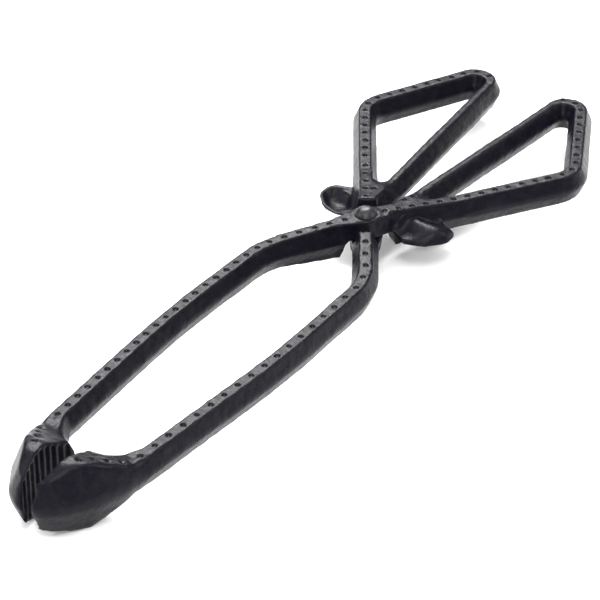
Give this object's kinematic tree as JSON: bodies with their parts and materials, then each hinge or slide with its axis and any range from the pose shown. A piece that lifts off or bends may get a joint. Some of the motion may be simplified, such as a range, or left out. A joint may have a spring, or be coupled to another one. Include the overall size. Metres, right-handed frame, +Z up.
{
  "type": "crucible tongs",
  "caption": "Cast scissor-action tongs: dimpled black levers half-lapped on a domed rivet, triangular finger loops, thumb spurs and deep ribbed jaws.",
  "frame": {"origin": "under the middle of the closed tongs' outline, level with the lowest faces of the jaws", "axes": "+X along the tongs towards the finger loops, +Z up along the rivet's axis, +Y across the tongs towards the upper lever's arm"},
  "size_m": [0.2991, 0.0932, 0.0244],
  "materials": {
    "casting": "satin black finish over a fine cast texture",
    "rivet": "satin black"
  },
  "bodies": {
    "upper": {"upper_lever": "casting", "pivot_rivet": "rivet", "rivet_washer": "rivet"},
    "lower": {"lower_lever": "casting"}
  },
  "joints": [
    {"name": "pivot", "type": "hinge", "parent": "upper", "child": "lower", "pos_m": [0.0369, 0, 0.0122], "axis": [0, 0, 1], "range_deg": [-0.5, 43.5]}
  ]
}
